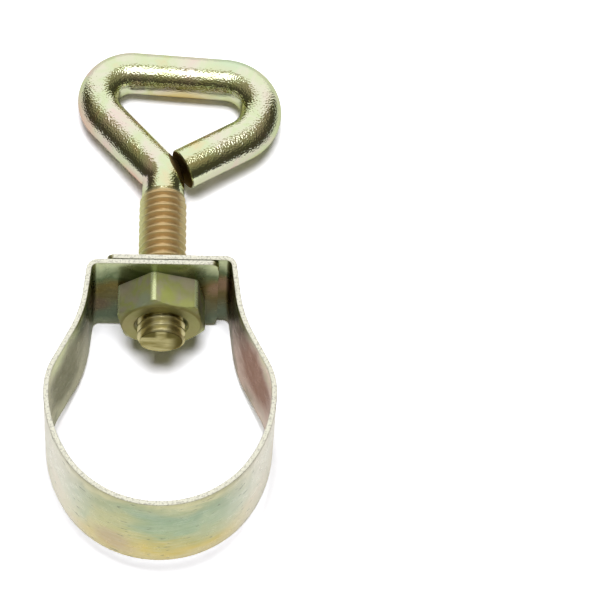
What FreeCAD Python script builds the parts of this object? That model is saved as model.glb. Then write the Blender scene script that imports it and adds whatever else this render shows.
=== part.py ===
import FreeCAD, Part
import math
import os
import Sketcher
from FreeCAD import Placement, Rotation, Vector

os.makedirs("parts", exist_ok=True)
doc = FreeCAD.newDocument("awning_pole_clamp")

# Driving sizes, in millimetres and degrees
SIZES = {
    # Strip that the band is bent from
    "strip_thickness": 0.65,
    "strip_width": 15.0,
    # Band, measured on the face that looks at the pole
    "seat_bore": 25.2,
    "seat_half_angle": 57.0,
    "flank_radius": 16.6,
    "shoulder_radius": 8.4,
    "neck_lean": 26.0,
    "throat_radius": 16.9,
    "wall_lean": 6.3,
    "wall_run": 3.3,
    "corner_radius": 0.8,
    "bridge_height": 19.3,
    # Laps that the bolt passes through
    "lap_gap": 0.05,
    "inner_lap_clearance": 1.5,
    "outer_lap_reach": 6.7,
    "lap_end_radius": 1.0,
    "bolt_hole": 6.5,
    # Eye bolt
    "thread_diameter": 5.9,
    "thread_length": 21.0,
    "tip_proud": 2.3,
    "tip_chamfer": 0.35,
    "runout_chamfer": 0.28,
    "rod_diameter": 5.3,
    "plain_run": 1.5,
    "flare_bend_radius": 3.2,
    "flare_angle": 41.2,
    "flare_run": 9.9,
    "left_bend_radius": 4.25,
    "left_bend_angle": 135.0,
    "bar_run": 11.5,
    "right_bend_radius": 4.9,
    "right_bend_angle": 145.6,
    "closing_run": 8.65,
    "cut_end_chamfer": 0.15,
    # Nut
    "across_flats": 10.0,
    "nut_height": 4.4,
    "nut_face_inset": 0.25,
    "nut_chamfer_angle": 30.0,
    "nut_corner_radius": 0.7,
    "nut_turned": 19.5,
    "running_clearance": 0.05,
    "bore_chamfer": 0.4,
}

sheet = doc.addObject("Spreadsheet::Sheet", "Sizes")
for row, (alias, size) in enumerate(SIZES.items(), start=1):
    sheet.set(f"A{row}", alias)
    sheet.set(f"B{row}", str(size))
    sheet.setAlias(f"B{row}", alias)
doc.recompute()


def size(alias):
    """The value that the sheet holds under this alias."""
    return float(sheet.get(alias))


def new_body(label):
    body = doc.addObject("PartDesign::Body", label)
    body.Label = label
    return body


def new_sketch(body, name, plane_role, offset=None):
    """A sketch on one of the body's own origin planes, lifted off it by a sheet expression."""
    sketch = body.newObject("Sketcher::SketchObject", name)
    plane = next(item for item in body.Origin.OriginFeatures if item.Role == plane_role)
    sketch.AttachmentSupport = (plane, [""])
    sketch.MapMode = "FlatFace"
    if offset:
        sketch.setExpression("AttachmentOffset.Base.z", offset)
        doc.recompute()
    return sketch


def bind(sketch, constraint, name, expression):
    """Adds a dimension to the sketch and ties it to the sheet."""
    index = sketch.addConstraint(constraint)
    sketch.renameConstraint(index, name)
    sketch.setExpression(f"Constraints.{name}", expression)


class BendLine:
    """A line of straight runs and tangent bends in a sketch, laid out from end to end.

    side is 1 where a positive turn is to the left and -1 where the whole line is mirrored in X.
    """

    def __init__(self, sketch, point, heading, side=1):
        self.sketch = sketch
        self.point = point
        self.heading = heading
        self.side = side
        self.last = None

    def placed(self, along, across):
        """The point that lies this far ahead of the line's end and to its left."""
        angle = math.radians(self.heading)
        ahead = Vector(math.cos(angle), math.sin(angle), 0)
        left = Vector(-ahead.y, ahead.x, 0)
        return self.point + ahead * along + left * across

    def mirrored(self, point):
        return Vector(point.x * self.side, point.y, 0)

    def join(self, index, near_end, far_end):
        """Makes the new piece tangent to the one before it."""
        if self.last is not None:
            self.sketch.addConstraint(
                Sketcher.Constraint("Tangent", self.last[0], self.last[1], index, near_end)
            )
        self.last = (index, far_end)

    def run(self, length, name=None, expression=None):
        end = self.placed(length, 0)
        line = Part.LineSegment(self.mirrored(self.point), self.mirrored(end))
        index = self.sketch.addGeometry(line, False)
        self.join(index, 1, 2)
        self.point = end
        if expression:
            bind(self.sketch, Sketcher.Constraint("Distance", index, length), name, expression)
        return index

    def bend(self, radius, turn, name, radius_expression, turn_expression):
        left_turn = turn > 0
        centre = self.placed(0, radius if left_turn else -radius)
        start = self.point - centre
        spoke = Rotation(Vector(0, 0, 1), turn).multVec(start)
        end = centre + spoke
        travels_left = left_turn == (self.side > 0)
        first, second = (self.point, end) if travels_left else (end, self.point)
        index = self.sketch.addGeometry(
            arc_between(self.mirrored(centre), radius, self.mirrored(first), self.mirrored(second)), False
        )
        self.join(index, 1 if travels_left else 2, 2 if travels_left else 1)
        self.point = end
        self.heading += turn
        bind(self.sketch, Sketcher.Constraint("Radius", index, radius), f"{name}_radius", radius_expression)
        span = Sketcher.Constraint("Angle", index, math.radians(abs(turn)))
        bind(self.sketch, span, f"{name}_turn", turn_expression)
        return index


def arc_between(centre, radius, first, second):
    """The arc that runs to the left from the first point to the second."""
    start = math.atan2(first.y - centre.y, first.x - centre.x)
    end = math.atan2(second.y - centre.y, second.x - centre.x)
    if end <= start:
        end += 2 * math.pi
    return Part.ArcOfCircle(Part.Circle(centre, Vector(0, 0, 1), radius), start, end)


def rectangle(sketch, low, high):
    """Four joined lines between two corners, sides level and upright."""
    corners = [low, Vector(high.x, low.y, 0), high, Vector(low.x, high.y, 0)]
    sides = [
        sketch.addGeometry(Part.LineSegment(corners[i], corners[(i + 1) % 4]), False) for i in range(4)
    ]
    for i in range(4):
        sketch.addConstraint(Sketcher.Constraint("Coincident", sides[i], 2, sides[(i + 1) % 4], 1))
        sketch.addConstraint(Sketcher.Constraint("Vertical" if i % 2 else "Horizontal", sides[i]))
    return sides


def circle(sketch, centre, diameter, expression):
    """A circle of a bound diameter, its centre still free."""
    index = sketch.addGeometry(Part.Circle(centre, Vector(0, 0, 1), diameter / 2), False)
    bind(sketch, Sketcher.Constraint("Diameter", index, diameter), "diameter", expression)
    return index


ORIGIN_POINT = (-1, 1)
CENTRE = 3


def pin_to_origin(sketch, index, position):
    sketch.addConstraint(Sketcher.Constraint("Coincident", index, position, *ORIGIN_POINT))


def neck_length():
    """Length of each straight neck, which fills the height that the bends and the inner wall leave."""
    half = size("strip_thickness") / 2
    seat_angle = math.radians(size("seat_half_angle"))
    neck_lean = math.radians(size("neck_lean"))
    wall_lean = math.radians(size("wall_lean"))
    seat_drop = (size("seat_bore") / 2 + half) * math.cos(seat_angle)
    flank_rise = (size("flank_radius") + half) * math.cos(seat_angle)
    shoulder_rise = (size("shoulder_radius") + half) * math.sin(neck_lean)
    throat_rise = (size("throat_radius") - half) * (math.sin(neck_lean) - math.sin(wall_lean))
    wall_rise = size("wall_run") * math.cos(wall_lean)
    corner_rise = (size("corner_radius") + half) * (1 - math.sin(wall_lean))
    bends_rise = flank_rise + shoulder_rise + throat_rise + corner_rise
    return (size("bridge_height") + half + seat_drop - bends_rise - wall_rise) / math.cos(neck_lean)


def band_side(sketch, side, seat_end, lap_level, lap_reach):
    """One side of the band's bend line, from the seat up the wall and across to the end of its lap.

    Returns the line with its neck, wall and lap, which still need a dimension each.
    """
    half = size("strip_thickness") / 2
    name = "right" if side > 0 else "left"
    seat_radius = size("seat_bore") / 2 + half
    seat_angle = size("seat_half_angle")
    start = Vector(
        seat_radius * math.sin(math.radians(seat_angle)), -seat_radius * math.cos(math.radians(seat_angle)), 0
    )
    line = BendLine(sketch, start, seat_angle, side)
    line.last = (0, seat_end)
    line.bend(
        size("flank_radius") + half,
        90 - seat_angle,
        f"{name}_flank",
        "Sizes.flank_radius + Sizes.strip_thickness / 2",
        "90 - Sizes.seat_half_angle",
    )
    line.bend(
        size("shoulder_radius") + half,
        size("neck_lean"),
        f"{name}_shoulder",
        "Sizes.shoulder_radius + Sizes.strip_thickness / 2",
        "Sizes.neck_lean",
    )
    neck = line.run(neck_length())
    line.bend(
        size("throat_radius") - half,
        size("wall_lean") - size("neck_lean"),
        f"{name}_throat",
        "Sizes.throat_radius - Sizes.strip_thickness / 2",
        "Sizes.neck_lean - Sizes.wall_lean",
    )
    wall_lean = math.radians(size("wall_lean"))
    corner_radius = size("corner_radius") + half
    corner_rise = corner_radius * (1 - math.sin(wall_lean))
    wall_foot = line.point
    wall = line.run((lap_level - line.point.y - corner_rise) / math.cos(wall_lean))
    line.bend(
        corner_radius,
        90 - size("wall_lean"),
        f"{name}_corner",
        "Sizes.corner_radius + Sizes.strip_thickness / 2",
        "90 - Sizes.wall_lean",
    )
    if lap_reach is None:
        wall_x = wall_foot.x - (lap_level - wall_foot.y) * math.tan(wall_lean)
        lap_reach = wall_x - (size("inner_lap_clearance") + half) / math.cos(wall_lean)
    lap = line.run(line.point.x + lap_reach)
    return line, neck, wall, lap


def make_bend_line(body):
    """The strip's middle line: the seat round the pole, and a side with its lap at each end of it."""
    half = size("strip_thickness") / 2
    seat_radius = size("seat_bore") / 2 + half
    seat_angle = math.radians(size("seat_half_angle"))
    sketch = new_sketch(body, "BandBendLine", "XY_Plane")
    seat = Part.ArcOfCircle(
        Part.Circle(Vector(0, 0, 0), Vector(0, 0, 1), seat_radius),
        -math.pi / 2 - seat_angle,
        -math.pi / 2 + seat_angle,
    )
    sketch.addGeometry(seat, False)
    pin_to_origin(sketch, 0, CENTRE)
    bind(
        sketch,
        Sketcher.Constraint("Radius", 0, seat_radius),
        "seat_radius",
        "Sizes.seat_bore / 2 + Sizes.strip_thickness / 2",
    )
    bind(sketch, Sketcher.Constraint("Angle", 0, 2 * seat_angle), "seat_span", "2 * Sizes.seat_half_angle")
    sketch.addConstraint(Sketcher.Constraint("Symmetric", 0, 1, 0, 2, -2))

    inner_level = size("bridge_height") + half
    outer_level = inner_level + size("strip_thickness") + size("lap_gap")
    outer_reach = size("outer_lap_reach")
    _, right_neck, right_wall, outer_lap = band_side(sketch, 1, 2, outer_level, outer_reach)
    inner_line, left_neck, left_wall, inner_lap = band_side(sketch, -1, 1, inner_level, None)

    inner_level_expression = "Sizes.bridge_height + Sizes.strip_thickness / 2"
    bind(
        sketch,
        Sketcher.Constraint("DistanceY", *ORIGIN_POINT, inner_lap, 2, inner_level),
        "inner_lap_level",
        inner_level_expression,
    )
    bind(
        sketch,
        Sketcher.Constraint("DistanceY", *ORIGIN_POINT, outer_lap, 2, outer_level),
        "outer_lap_level",
        f"{inner_level_expression} + Sizes.strip_thickness + Sizes.lap_gap",
    )
    bind(sketch, Sketcher.Constraint("Distance", left_wall, size("wall_run")), "wall_run", "Sizes.wall_run")
    sketch.addConstraint(Sketcher.Constraint("Equal", left_neck, right_neck))
    bind(
        sketch,
        Sketcher.Constraint("DistanceX", outer_lap, 2, *ORIGIN_POINT, outer_reach),
        "outer_lap_reach",
        "Sizes.outer_lap_reach",
    )
    bind(
        sketch,
        Sketcher.Constraint("Distance", inner_lap, 2, right_wall, size("inner_lap_clearance") + half),
        "inner_lap_clearance",
        "Sizes.inner_lap_clearance + Sizes.strip_thickness / 2",
    )
    measured = sketch.addConstraint(
        Sketcher.Constraint("DistanceX", *ORIGIN_POINT, inner_lap, 2, -inner_line.point.x)
    )
    sketch.setDriving(measured, False)
    sketch.renameConstraint(measured, "inner_lap_reach")
    doc.recompute()
    return sketch


def make_band():
    """The strip: a rectangle carried along its bend line, then bored and rounded at the laps."""
    body = new_body("clamp_band")
    bend_line = make_bend_line(body)
    section = new_sketch(body, "StripSection", "YZ_Plane", "BandBendLine.Constraints.inner_lap_reach")
    low = Vector(size("bridge_height"), 0, 0)
    high = Vector(size("bridge_height") + size("strip_thickness"), size("strip_width"), 0)
    sides = rectangle(section, low, high)
    bind(
        section,
        Sketcher.Constraint("DistanceX", *ORIGIN_POINT, sides[0], 1, low.x),
        "face",
        "Sizes.bridge_height",
    )
    section.addConstraint(Sketcher.Constraint("PointOnObject", sides[0], 1, -1))
    bind(
        section,
        Sketcher.Constraint("Distance", sides[0], size("strip_thickness")),
        "thickness",
        "Sizes.strip_thickness",
    )
    bind(
        section,
        Sketcher.Constraint("Distance", sides[1], size("strip_width")),
        "width",
        "Sizes.strip_width",
    )
    doc.recompute()

    strip = body.newObject("PartDesign::AdditivePipe", "BentStrip")
    strip.Profile = section
    strip.Spine = (bend_line, [f"Edge{i + 1}" for i in range(len(bend_line.Geometry))])
    doc.recompute()

    hole = new_sketch(body, "BoltHole", "XZ_Plane")
    ring = circle(hole, Vector(0, size("strip_width") / 2, 0), size("bolt_hole"), "Sizes.bolt_hole")
    hole.addConstraint(Sketcher.Constraint("PointOnObject", ring, CENTRE, -2))
    bind(
        hole,
        Sketcher.Constraint("DistanceY", *ORIGIN_POINT, ring, CENTRE, size("strip_width") / 2),
        "rise",
        "Sizes.strip_width / 2",
    )
    bored = body.newObject("PartDesign::Pocket", "BoltHoles")
    bored.Profile = hole
    bored.Type = "ThroughAll"
    bored.Reversed = False
    doc.recompute()

    rounded = body.newObject("PartDesign::Fillet", "LapEnds")
    inner_lap_reach = bend_line.getDatum("inner_lap_reach").Value
    rounded.Base = (bored, lap_end_edges(bored.Shape, (inner_lap_reach, -size("outer_lap_reach"))))
    rounded.setExpression("Radius", "Sizes.lap_end_radius")
    doc.recompute()
    return body


def lap_end_edges(shape, ends):
    """The short edges across the strip's thickness at the two lap ends, which lie at these places in X."""
    found = []
    for number, edge in enumerate(shape.Edges, start=1):
        box = edge.BoundBox
        short = abs(edge.Length - size("strip_thickness")) < 1e-4
        across = abs(box.YLength - edge.Length) < 1e-4
        at_end = any(abs(box.Center.x - end) < 1e-4 for end in ends)
        if short and across and at_end:
            found.append(f"Edge{number}")
    return found


def round_edges(shape, radius, level):
    """Names of the circular edges of this radius whose centre lies at this height along Y."""
    found = []
    for number, edge in enumerate(shape.Edges, start=1):
        curve = edge.Curve
        if not isinstance(curve, Part.Circle):
            continue
        if abs(curve.Radius - radius) < 1e-4 and abs(curve.Center.y - level) < 1e-4:
            found.append(f"Edge{number}")
    return found


def make_eye_bolt():
    """The rod, in a frame of its own: tip at the origin, thread along +Y, eye in the XY plane."""
    body = new_body("eye_bolt")
    thread = new_sketch(body, "ThreadSection", "XZ_Plane")
    ring = circle(thread, Vector(0, 0, 0), size("thread_diameter"), "Sizes.thread_diameter")
    pin_to_origin(thread, ring, CENTRE)
    shank = body.newObject("PartDesign::Pad", "ThreadedShank")
    shank.Profile = thread
    shank.setExpression("Length", "Sizes.thread_length")
    shank.Reversed = True
    doc.recompute()

    tip = body.newObject("PartDesign::Chamfer", "TipChamfer")
    tip.Base = (shank, round_edges(shank.Shape, size("thread_diameter") / 2, 0))
    tip.setExpression("Size", "Sizes.tip_chamfer")
    doc.recompute()

    runout = body.newObject("PartDesign::Chamfer", "ThreadRunout")
    runout.Base = (tip, round_edges(tip.Shape, size("thread_diameter") / 2, size("thread_length")))
    runout.setExpression("Size", "Sizes.runout_chamfer")
    doc.recompute()

    bend_line = new_sketch(body, "EyeBendLine", "XY_Plane")
    inside_thread = size("thread_diameter") / 2
    line = BendLine(bend_line, Vector(0, size("thread_length") - inside_thread, 0), 90)
    root = line.run(
        inside_thread + size("plain_run"), "root", "Sizes.thread_diameter / 2 + Sizes.plain_run"
    )
    bend_line.addConstraint(Sketcher.Constraint("PointOnObject", root, 1, -2))
    bend_line.addConstraint(Sketcher.Constraint("Vertical", root))
    bind(
        bend_line,
        Sketcher.Constraint("DistanceY", *ORIGIN_POINT, root, 2, size("thread_length") + size("plain_run")),
        "eye_start",
        "Sizes.thread_length + Sizes.plain_run",
    )
    line.bend(
        size("flare_bend_radius"), size("flare_angle"), "flare", "Sizes.flare_bend_radius", "Sizes.flare_angle"
    )
    line.run(size("flare_run"), "flare_run", "Sizes.flare_run")
    line.bend(
        size("left_bend_radius"),
        -size("left_bend_angle"),
        "left",
        "Sizes.left_bend_radius",
        "Sizes.left_bend_angle",
    )
    line.run(size("bar_run"), "bar_run", "Sizes.bar_run")
    line.bend(
        size("right_bend_radius"),
        -size("right_bend_angle"),
        "right",
        "Sizes.right_bend_radius",
        "Sizes.right_bend_angle",
    )
    line.run(size("closing_run"), "closing_run", "Sizes.closing_run")

    section = new_sketch(body, "RodSection", "XZ_Plane", "Sizes.thread_diameter / 2 - Sizes.thread_length")
    ring = circle(section, Vector(0, 0, 0), size("rod_diameter"), "Sizes.rod_diameter")
    pin_to_origin(section, ring, CENTRE)
    doc.recompute()

    eye = body.newObject("PartDesign::AdditivePipe", "BentEye")
    eye.Profile = section
    eye.Spine = (bend_line, [f"Edge{i + 1}" for i in range(len(bend_line.Geometry))])
    doc.recompute()

    cut_end = body.newObject("PartDesign::Chamfer", "CutEnd")
    cut_end.Base = (eye, cut_end_edges(eye.Shape, line.point))
    cut_end.setExpression("Size", "Sizes.cut_end_chamfer")
    body.setExpression("Placement.Base.y", "Sizes.bridge_height - Sizes.nut_height - Sizes.tip_proud")
    body.setExpression("Placement.Base.z", "Sizes.strip_width / 2")
    doc.recompute()
    return body


def cut_end_edges(shape, centre):
    """The rim of the rod's cut end, which closes the eye."""
    found = []
    for number, edge in enumerate(shape.Edges, start=1):
        curve = edge.Curve
        if isinstance(curve, Part.Circle) and curve.Center.distanceToPoint(centre) < 1e-3:
            found.append(f"Edge{number}")
    return found


def edges_along_nut(shape):
    """The six edges that run the nut's whole height, between its flats."""
    height = size("nut_height")
    return [
        f"Edge{number}"
        for number, edge in enumerate(shape.Edges, start=1)
        if abs(edge.BoundBox.YLength - height) < 1e-4
    ]


def make_nut():
    """The nut, in a frame of its own: seat face in the XZ plane, axis along Y, front face at -Y."""
    body = new_body("hex_nut")
    outline = new_sketch(body, "Hexagon", "XZ_Plane")
    corner_radius = size("across_flats") / math.sqrt(3)
    corners = [
        Vector(corner_radius * math.cos(math.radians(60 * i)), corner_radius * math.sin(math.radians(60 * i)), 0)
        for i in range(6)
    ]
    sides = [outline.addGeometry(Part.LineSegment(corners[i], corners[(i + 1) % 6]), False) for i in range(6)]
    rim = outline.addGeometry(Part.Circle(Vector(0, 0, 0), Vector(0, 0, 1), corner_radius), True)
    pin_to_origin(outline, rim, CENTRE)
    for i in range(6):
        outline.addConstraint(Sketcher.Constraint("Coincident", sides[i], 2, sides[(i + 1) % 6], 1))
        outline.addConstraint(Sketcher.Constraint("PointOnObject", sides[i], 1, rim))
        if i:
            outline.addConstraint(Sketcher.Constraint("Equal", sides[0], sides[i]))
    outline.addConstraint(Sketcher.Constraint("PointOnObject", sides[0], 1, -1))
    bind(
        outline,
        Sketcher.Constraint("Diameter", rim, 2 * corner_radius),
        "across_corners",
        "2 * Sizes.across_flats / sqrt(3)",
    )
    block = body.newObject("PartDesign::Pad", "NutBlock")
    block.Profile = outline
    block.setExpression("Length", "Sizes.nut_height")
    doc.recompute()

    rounded = body.newObject("PartDesign::Fillet", "RoundedCorners")
    rounded.Base = (block, edges_along_nut(block.Shape))
    rounded.setExpression("Radius", "Sizes.nut_corner_radius")
    doc.recompute()

    bore_diameter = size("thread_diameter") + 2 * size("running_clearance")
    bore = new_sketch(body, "NutBore", "XZ_Plane")
    ring = circle(bore, Vector(0, 0, 0), bore_diameter, "Sizes.thread_diameter + 2 * Sizes.running_clearance")
    pin_to_origin(bore, ring, CENTRE)
    bored = body.newObject("PartDesign::Pocket", "ThreadBore")
    bored.Profile = bore
    bored.Type = "ThroughAll"
    bored.Reversed = True
    doc.recompute()

    mouths = body.newObject("PartDesign::Chamfer", "BoreMouths")
    mouth_edges = []
    for level in (0, -size("nut_height")):
        mouth_edges += round_edges(bored.Shape, bore_diameter / 2, level)
    mouths.Base = (bored, mouth_edges)
    mouths.setExpression("Size", "Sizes.bore_chamfer")
    doc.recompute()

    wedge = new_sketch(body, "CornerWedges", "XY_Plane")
    reach = size("across_flats")
    face_radius = size("across_flats") / 2 - size("nut_face_inset")
    drop = (reach - face_radius) * math.tan(math.radians(size("nut_chamfer_angle")))
    for name, level, inward in (("seat", 0, -1), ("front", -size("nut_height"), 1)):
        points = [
            Vector(face_radius, level, 0),
            Vector(reach, level, 0),
            Vector(reach, level + inward * drop, 0),
        ]
        edges = [
            wedge.addGeometry(Part.LineSegment(points[i], points[(i + 1) % 3]), False) for i in range(3)
        ]
        for i in range(3):
            wedge.addConstraint(Sketcher.Constraint("Coincident", edges[i], 2, edges[(i + 1) % 3], 1))
        wedge.addConstraint(Sketcher.Constraint("Horizontal", edges[0]))
        wedge.addConstraint(Sketcher.Constraint("Vertical", edges[1]))
        if name == "seat":
            wedge.addConstraint(Sketcher.Constraint("PointOnObject", edges[0], 1, -1))
        else:
            bind(
                wedge,
                Sketcher.Constraint("DistanceY", edges[0], 1, *ORIGIN_POINT, size("nut_height")),
                "front_level",
                "Sizes.nut_height",
            )
        bind(
            wedge,
            Sketcher.Constraint("DistanceX", *ORIGIN_POINT, edges[0], 1, face_radius),
            f"{name}_face",
            "Sizes.across_flats / 2 - Sizes.nut_face_inset",
        )
        bind(
            wedge,
            Sketcher.Constraint("DistanceX", *ORIGIN_POINT, edges[1], 1, reach),
            f"{name}_reach",
            "Sizes.across_flats",
        )
        bind(
            wedge,
            Sketcher.Constraint("Distance", edges[1], drop),
            f"{name}_drop",
            "(Sizes.across_flats / 2 + Sizes.nut_face_inset) * tan(Sizes.nut_chamfer_angle * 1 deg)",
        )
    chamfered = body.newObject("PartDesign::Groove", "CornerChamfers")
    chamfered.Profile = wedge
    chamfered.ReferenceAxis = (wedge, ["V_Axis"])
    chamfered.Angle = 360
    doc.recompute()

    turned = Rotation(Vector(0, 1, 0), size("nut_turned"))
    body.Placement = Placement(Vector(0, 0, 0), turned)
    body.setExpression("Placement.Rotation.Angle", "Sizes.nut_turned * 1 deg")
    body.setExpression("Placement.Base.y", "Sizes.bridge_height")
    body.setExpression("Placement.Base.z", "Sizes.strip_width / 2")
    doc.recompute()
    return body


def check_document():
    """Stops the build on a failed feature, an empty cut or a shape that isn't one sound solid."""
    for item in doc.Objects:
        faults = [state for state in item.State if state in ("Invalid", "Error")]
        if faults:
            raise RuntimeError(f"{item.Label} is {', '.join(faults)}")
        if item.TypeId == "Sketcher::SketchObject" and item.solve() != 0:
            raise RuntimeError(f"sketch {item.Label} can't be solved")
        cuts = item.TypeId in ("PartDesign::Pocket", "PartDesign::Groove", "PartDesign::Chamfer")
        if cuts and item.Shape.Volume > item.BaseFeature.Shape.Volume - 1e-4:
            raise RuntimeError(f"{item.Label} removes nothing")


bodies = [make_band(), make_eye_bolt(), make_nut()]
doc.recompute()
check_document()
for body in bodies:
    shape = body.Shape
    if shape.isNull() or not shape.isValid() or len(shape.Solids) != 1:
        raise RuntimeError(f"{body.Label} is not one valid solid")
    shape.exportStep(os.path.join("parts", f"{body.Label}.step"))
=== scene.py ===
import bmesh
import bpy
import math
from mathutils import Matrix, Vector


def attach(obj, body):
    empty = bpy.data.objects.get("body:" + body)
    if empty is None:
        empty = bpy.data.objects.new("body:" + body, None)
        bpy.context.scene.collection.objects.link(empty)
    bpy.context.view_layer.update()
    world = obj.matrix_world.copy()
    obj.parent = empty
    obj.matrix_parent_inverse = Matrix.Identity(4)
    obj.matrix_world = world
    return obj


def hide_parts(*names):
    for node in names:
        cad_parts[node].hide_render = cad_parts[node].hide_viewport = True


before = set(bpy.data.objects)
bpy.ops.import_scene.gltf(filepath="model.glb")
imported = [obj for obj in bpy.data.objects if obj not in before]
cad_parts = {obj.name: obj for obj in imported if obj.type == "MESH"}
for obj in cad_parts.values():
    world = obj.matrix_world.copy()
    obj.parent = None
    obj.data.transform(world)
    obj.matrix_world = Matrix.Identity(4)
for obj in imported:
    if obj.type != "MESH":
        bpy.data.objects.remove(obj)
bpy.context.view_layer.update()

MM = 0.001

# The same sizes as the solids have, in millimetres and degrees
STRIP_THICKNESS = 0.65
STRIP_WIDTH = 15.0
SEAT_RADIUS = 12.6
SEAT_HALF_ANGLE = 57.0
FLANK_RADIUS = 16.6
SHOULDER_RADIUS = 8.4
NECK_LEAN = 26.0
THROAT_RADIUS = 16.9
WALL_LEAN = 6.3
WALL_RUN = 3.3
CORNER_RADIUS = 0.8
BRIDGE_HEIGHT = 19.3
LAP_GAP = 0.05
INNER_LAP_CLEARANCE = 1.5
OUTER_LAP_REACH = 6.7
LAP_END_RADIUS = 1.0
BOLT_HOLE = 6.5
THREAD_RADIUS = 2.95
THREAD_LENGTH = 21.0
TIP_PROUD = 2.3
TIP_CHAMFER = 0.35
ROD_RADIUS = 2.65
PLAIN_RUN = 1.5
FLARE_BEND_RADIUS = 3.2
FLARE_ANGLE = 41.2
FLARE_RUN = 9.9
LEFT_BEND_RADIUS = 4.25
LEFT_BEND_ANGLE = 135.0
BAR_RUN = 11.5
RIGHT_BEND_RADIUS = 4.9
RIGHT_BEND_ANGLE = 145.6
CLOSING_RUN = 8.65
CUT_END_CHAMFER = 0.15
NUT_HEIGHT = 4.4
NUT_FLATS = 10.0
NUT_FACE_RADIUS = 4.75
NUT_CHAMFER_ANGLE = 30.0
NUT_CORNER_RADIUS = 0.7
NUT_TURNED = 19.5
NUT_BORE_RADIUS = 3.0
BORE_CHAMFER = 0.4

# What the levels and places below are worked out from
HALF_STRIP = STRIP_THICKNESS / 2
AXIS_Z = STRIP_WIDTH / 2
NUT_FACE_Y = BRIDGE_HEIGHT - NUT_HEIGHT
TIP_Y = NUT_FACE_Y - TIP_PROUD
THREAD_END_Y = TIP_Y + THREAD_LENGTH

# The thread's form: shares of a turn are counted from the middle of a crest
THREAD_PITCH = 1.0
THREAD_DEPTH = 0.56
CREST_SHARE = 0.1
ROOT_SHARE = 0.38
THREAD_TURNED = 0.35
THREAD_RUNOUT = 1.6

# The nut's thread stands a little clear of the bolt's
NUT_ROOT_CLEARANCE = 0.02
NUT_CREST_CLEARANCE = 0.12
NUT_THREAD_MAJOR = NUT_BORE_RADIUS + NUT_ROOT_CLEARANCE
NUT_THREAD_MINOR = THREAD_RADIUS - THREAD_DEPTH + NUT_CREST_CLEARANCE

# The strip's broken edges, and how far short of a full quarter round the laps' corners stop
EDGE_RADIUS = 0.1
LAP_CORNER_SHORT = 0.02

# How finely the shapes are drawn: steps in millimetres, then counts
RUN_STEP = 0.4
EYE_BEND_STEP = 0.25
FLARE_STEP = 0.2
CORNER_STEP = 0.12
LAP_END_STEP = 0.1
THREAD_STEPS = 16
LEAST_BEND_STEPS = 6
SECTION_STEPS = 14
EDGE_STEPS = 3
ROD_SEGMENTS = 72
HOLE_SEGMENTS = 64
NUT_SEGMENTS = 240
NUT_BORE_STEPS = 88

# Faces that meet at a steeper angle than this keep a crisp edge
BAND_CRISP = math.radians(50)
BOLT_CRISP = math.radians(38)
NUT_CRISP = math.radians(28)

# Camera and stage

# Angles in degrees, and the clamp's place and scale in the frame
CAMERA_ELEVATION = 60.619
CAMERA_AZIMUTH = -0.18
CAMERA_ROLL = -1.065
PIXELS_PER_MM = 7.962
FOCAL_PIXELS = 3395.0
TARGET = Vector((0.075, 21.9, 0.0))
TARGET_PIXEL = (162.0, 306.0)
FRAME_PIXELS = 600
SENSOR_WIDTH = 36.0
NEAREST_SEEN = 0.01
FARTHEST_SEEN = 20.0


def make_camera():
    """A long lens at the photograph's angle, turned so that the clamp stands left of the middle."""
    e = math.radians(CAMERA_ELEVATION)
    a = math.radians(CAMERA_AZIMUTH)
    r = math.radians(CAMERA_ROLL)
    ahead = Vector((-math.sin(a) * math.cos(e), math.cos(a) * math.cos(e), -math.sin(e)))
    right = Vector((math.cos(a), math.sin(a), 0.0))
    up = right.cross(ahead)
    image_right = right * math.cos(r) - up * math.sin(r)
    image_up = right * math.sin(r) + up * math.cos(r)
    position = TARGET - ahead * (FOCAL_PIXELS / PIXELS_PER_MM)
    middle = FRAME_PIXELS / 2
    aim = ahead * FOCAL_PIXELS
    aim += image_right * (middle - TARGET_PIXEL[0])
    aim += image_up * (TARGET_PIXEL[1] - middle)
    aim.normalize()
    side = aim.cross(image_up).normalized()
    top = side.cross(aim)
    data = bpy.data.cameras.new("camera")
    data.sensor_width = SENSOR_WIDTH
    data.lens = FOCAL_PIXELS / FRAME_PIXELS * SENSOR_WIDTH
    data.clip_start = NEAREST_SEEN
    data.clip_end = FARTHEST_SEEN
    camera = bpy.data.objects.new("camera", data)
    bpy.context.scene.collection.objects.link(camera)
    camera.matrix_world = Matrix(
        (
            (side.x, top.x, -aim.x, position.x * MM),
            (side.y, top.y, -aim.y, position.y * MM),
            (side.z, top.z, -aim.z, position.z * MM),
            (0, 0, 0, 1),
        )
    )
    bpy.context.scene.camera = camera


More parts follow.
